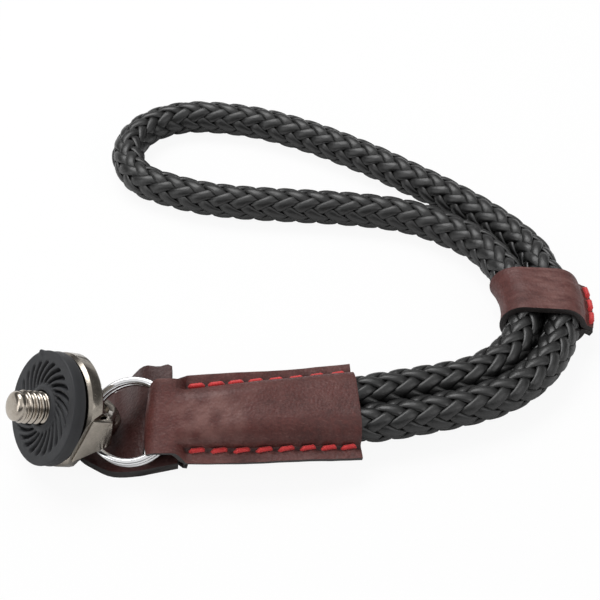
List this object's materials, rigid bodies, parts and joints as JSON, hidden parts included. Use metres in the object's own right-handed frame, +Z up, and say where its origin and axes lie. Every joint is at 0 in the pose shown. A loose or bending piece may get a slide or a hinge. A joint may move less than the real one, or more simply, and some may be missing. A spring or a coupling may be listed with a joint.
{
  "type": "camera wrist strap",
  "caption": "Camera wrist strap: a braided cord loop in a stitched leather sleeve, with a sliding keeper, a split ring and a threaded camera mount.",
  "frame": {"origin": "on the surface the strap lies on, under the middle of its rigid and leather pieces, the cord left out", "axes": "+X along the sleeve from the camera mount toward the keeper, +Y toward the cord's loop, +Z up"},
  "size_m": [0.1188, 0.1219, 0.0221],
  "materials": {
    "brown_leather": "worn satin",
    "red_thread": "waxed thread",
    "black_braid": "satin braid",
    "black_rubber": "matte moulded",
    "dark_nickel": "dark nickel plate on a casting",
    "chrome": "bright plate"
  },
  "bodies": {
    "strap": {"sleeve": "brown_leather", "near_seam_thread": "red_thread", "far_seam_thread": "red_thread", "pad": "brown_leather", "cord": "black_braid"},
    "keeper": {"keeper": "brown_leather", "keeper_thread": "red_thread"},
    "ring": {"split_ring": "chrome"},
    "mount": {"mount_base": "dark_nickel", "washer": "black_rubber", "stud": "dark_nickel"}
  },
  "joints": [
    {"name": "keeper_slide", "type": "hinge", "parent": "strap", "child": "keeper", "pos_m": [0.02195, 0.01655, 0.0054], "axis": [0, 0, 1], "range_deg": [-56, 4]},
    {"name": "ring_turn", "type": "hinge", "parent": "strap", "child": "ring", "pos_m": [-0.03565, -0.01975, 0.0088], "axis": [-0.1799, -0.4696, 0.8643], "continuous": true},
    {"name": "mount_swing", "type": "hinge", "parent": "strap", "child": "mount", "pos_m": [-0.04356, -0.01868, 0.00773], "axis": [0.0525, 0.8728, 0.4852], "range_deg": [-20, 15]}
  ]
}
